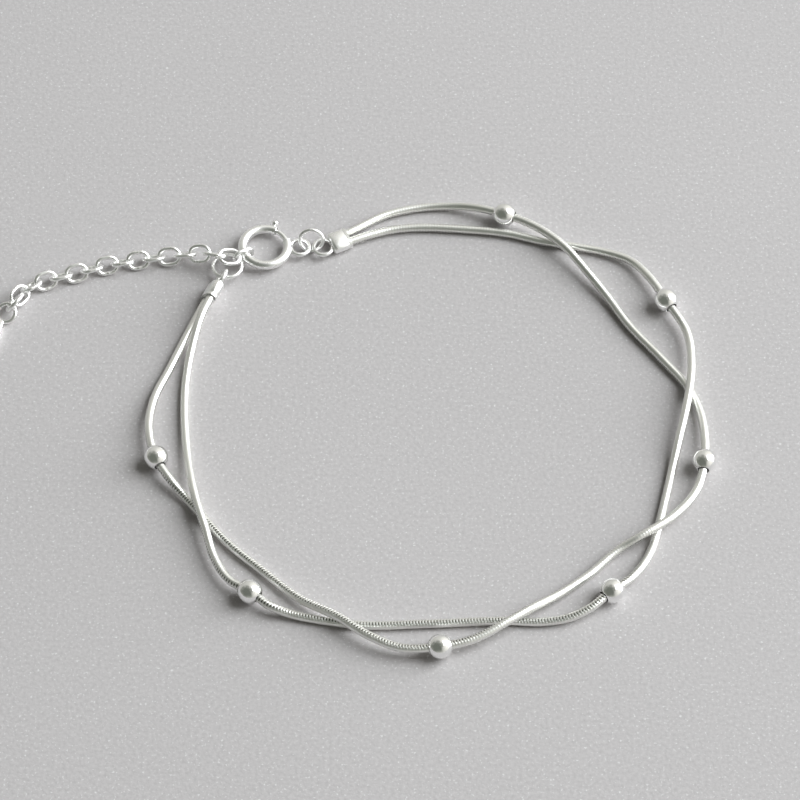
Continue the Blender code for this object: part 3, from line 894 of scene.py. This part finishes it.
def dropWork():
    # A flat teardrop, its edges rolled over
    big, small = drop["width"] / 2, drop["tip"] / 2
    between = drop["length"] - big - small
    lean = math.acos((big - small) / between)
    work = bmesh.new()
    corners = []
    ends = (
        (between, big, lean - math.pi, math.pi - lean, drop["endPoints"][0]),
        (0.0, small, math.pi - lean, math.pi + lean, drop["endPoints"][1]),
    )
    for centre, radius, first, last, count in ends:
        for k in range(count):
            angle = first + (last - first) * k / (count - 1)
            spot = (centre + radius * math.cos(angle), radius * math.sin(angle))
            corners.append(work.verts.new((spot[0] * mm, spot[1] * mm, -drop["thickness"] / 2 * mm)))
    work.faces.new(corners)
    bmesh.ops.remove_doubles(work, verts=work.verts, dist=1e-7)
    made = bmesh.ops.extrude_face_region(work, geom=work.faces[:])
    top = [v for v in made["geom"] if isinstance(v, bmesh.types.BMVert)]
    bmesh.ops.translate(work, verts=top, vec=(0, 0, drop["thickness"] * mm))
    bmesh.ops.recalc_face_normals(work, faces=work.faces)
    rims = [e for e in work.edges if abs(e.verts[0].co.z - e.verts[1].co.z) < 1e-7]
    bmesh.ops.bevel(
        work,
        geom=rims,
        offset=drop["edge"] * mm,
        offset_type="OFFSET",
        segments=4,
        profile=0.5,
        affect="EDGES",
        material=-1,
        clamp_overlap=True,
    )
    return work


def makeDrop():
    piece = meshObject("end_drop_blank", moved(dropWork(), frameOf("end_drop")), ("finding",), 30.0)
    loop = sweptWire((drop["loopInner"] + drop["wire"]) / 2, drop["wire"])
    cutWith(piece, meshObject("dropLoop", moved(loop, frameOf("drop_loop")), ("finding",)), "UNION")
    piece.data.set_sharp_from_angle(angle=math.radians(drop["sharp"]))
    fit(piece, "finding_silver", "end_drop")


makeDrop()
print("drop hung")


# The board that it lies on

board = {
    "size": 4.0,
    "colour": (0.550, 0.526, 0.525),
    "roughness": 0.75,
    "specular": 0.3,
    "grainScale": 2700.0,
    "grain": 0.19,       # how far the grain lightens and darkens the board
    "speckScale": 1.4,   # times the grain's
    "speckEdge": (0.60, 0.78),
    "sparkle": 0.42,     # how white a speck gets
    "cloudScale": 25.0,
    "cloudShare": 0.15,  # broad clouds in place of some of the grain
    "bump": 0.35,
    "bumpDistance": 0.00005,
}


def makeBoard():
    work = bmesh.new()
    bmesh.ops.create_grid(work, x_segments=1, y_segments=1, size=board["size"] / 2)
    mesh = bpy.data.meshes.new("board")
    work.to_mesh(mesh)
    work.free()
    floor = bpy.data.objects.new("board", mesh)
    scene.collection.objects.link(floor)
    material = bpy.data.materials.new("boardPaper")
    material.use_nodes = True
    tree = material.node_tree
    shader = tree.nodes["Principled BSDF"]
    shader.inputs["Roughness"].default_value = board["roughness"]
    shader.inputs["Specular IOR Level"].default_value = board["specular"]
    place = tree.nodes.new("ShaderNodeTexCoord")
    place.location = (-1000, 0)
    where = place.outputs["Object"]
    grain = noiseNode(tree, where, board["grainScale"], 1.5, -800, 150)
    specks = noiseNode(tree, where, board["grainScale"] * board["speckScale"], 1.0, -800, -100)
    clouds = noiseNode(tree, where, board["cloudScale"], 2.0, -800, -350)
    most = mathNode(tree, "MULTIPLY", grain, 1 - board["cloudShare"], -620, 150)
    rest = mathNode(tree, "MULTIPLY", clouds, board["cloudShare"], -620, -350)
    blend = mathNode(tree, "ADD", most, rest, -450, 0)
    shares = (1 - board["grain"], 1 + board["grain"])
    low, high = ((*(c * share for c in board["colour"]), 1.0) for share in shares)
    tint = mixNode(tree, blend, low, high, -280, 100)
    bright = mapped(tree, specks, board["speckEdge"], (0.0, board["sparkle"]), -450, -150)
    glint = mixNode(tree, bright, tint, (1.0, 1.0, 1.0, 1.0), -120, 0)
    bumps = bumpNode(tree, grain, board["bump"], board["bumpDistance"], -200, -300)
    tree.links.new(glint, shader.inputs["Base Color"])
    tree.links.new(bumps, shader.inputs["Normal"])
    mesh.materials.append(material)


makeBoard()
print("board laid")


# Light and camera

studio = {
    "towards": (0.845, 0.215, 0.49),   # the way to the window
    "distance": 1.5,
    "width": 1.15,
    "height": 2.2,
    "power": 54.0,
    "colour": (0.942, 0.98, 1.0),
    # the room is light all round, lightest on the window's side, and dark over the camera's left shoulder
    "shade": (-0.47, -0.47, 0.74),
    "dark": (0.150, 0.160, 0.138),
    "band": (0.66, 0.655, 0.615),
    "shadeEdge": (0.28, 0.92),         # where the light band fades into it, as a cosine
    "sideEdge": (-0.6, 0.8),
    "bandSides": (0.62, 1.0),          # the band's share away from the window and towards it
    "patches": 0.7,                    # how far uneven things in the room break the dark part up
    "patchScale": 2.6,
    "glow": 1.6,                       # how much lighter the room is close to the window
    "glowEdge": (0.35, 0.95),
    "fill": 0.30,                      # the room's share of the light on the board, for deep shadows
    "aim": (6.14, 3.21, 0.0),
    "back": 424.5,
    "elevation": 57.5,
    "lens": 189.0,
}


def lightStudio():
    # A window, and a room that the silver sees all round
    towards = Vector(studio["towards"]).normalized()
    world = bpy.data.worlds.new("studio")
    scene.world = world
    world.use_nodes = True
    tree = world.node_tree
    sky = tree.nodes["Background"]
    way = tree.nodes.new("ShaderNodeTexCoord")
    facings = []
    for aim in (Vector(studio["shade"]).normalized(), towards):
        facing = tree.nodes.new("ShaderNodeVectorMath")
        facing.operation = "DOT_PRODUCT"
        facing.inputs[1].default_value = aim
        tree.links.new(way.outputs["Generated"], facing.inputs[0])
        facings.append(facing.outputs["Value"])
    patches = noiseNode(tree, way.outputs["Generated"], studio["patchScale"], 2.0, -1000, 250)
    uneven = mathNode(tree, "SUBTRACT", patches, 0.5, -820, 250)
    broken = mathNode(tree, "MULTIPLY", uneven, studio["patches"], -660, 250)
    shaded = mathNode(tree, "ADD", facings[0], broken, -560, 150)
    low = mapped(tree, shaded, studio["shadeEdge"], (1.0, 0.0), -450, 150)
    side = mapped(tree, facings[1], studio["sideEdge"], studio["bandSides"], -450, -150)
    lit = mathNode(tree, "MULTIPLY", low, side, -280, 0)
    room = mixNode(tree, lit, (*studio["dark"], 1.0), (*studio["band"], 1.0), -100, 0)
    tree.links.new(room, sky.inputs["Color"])
    ray = tree.nodes.new("ShaderNodeLightPath")
    ray.location = (-280, -300)
    share = mapped(tree, ray.outputs["Is Diffuse Ray"], (0.0, 1.0), (1.0, studio["fill"]), -100, -300)
    glow = mapped(tree, facings[1], studio["glowEdge"], (1.0, studio["glow"]), -100, -550)
    tree.links.new(mathNode(tree, "MULTIPLY", share, glow, 80, -300), sky.inputs["Strength"])

    light = bpy.data.lights.new("window", "AREA")
    light.shape = "RECTANGLE"
    light.size = studio["width"]
    light.size_y = studio["height"]
    light.energy = studio["power"]
    light.color = studio["colour"]
    lamp = bpy.data.objects.new("window", light)
    lamp.location = towards * studio["distance"]
    lamp.rotation_mode = "QUATERNION"
    lamp.rotation_quaternion = (-towards).to_track_quat("-Z", "Y")
    scene.collection.objects.link(lamp)
    scene.view_settings.view_transform = "Standard"


def placeCamera():
    view = bpy.data.cameras.new("view")
    view.sensor_width = 36.0
    view.lens = studio["lens"]
    view.clip_start = 0.01
    view.clip_end = 20.0
    camera = bpy.data.objects.new("view", view)
    tilt = math.radians(studio["elevation"])
    back = Vector((0.0, -math.cos(tilt), math.sin(tilt)))
    camera.location = (Vector(studio["aim"]) + back * studio["back"]) * mm
    camera.rotation_euler = (math.pi / 2 - tilt, 0.0, 0.0)
    scene.collection.objects.link(camera)
    scene.camera = camera


lightStudio()
placeCamera()
print("studio lit")
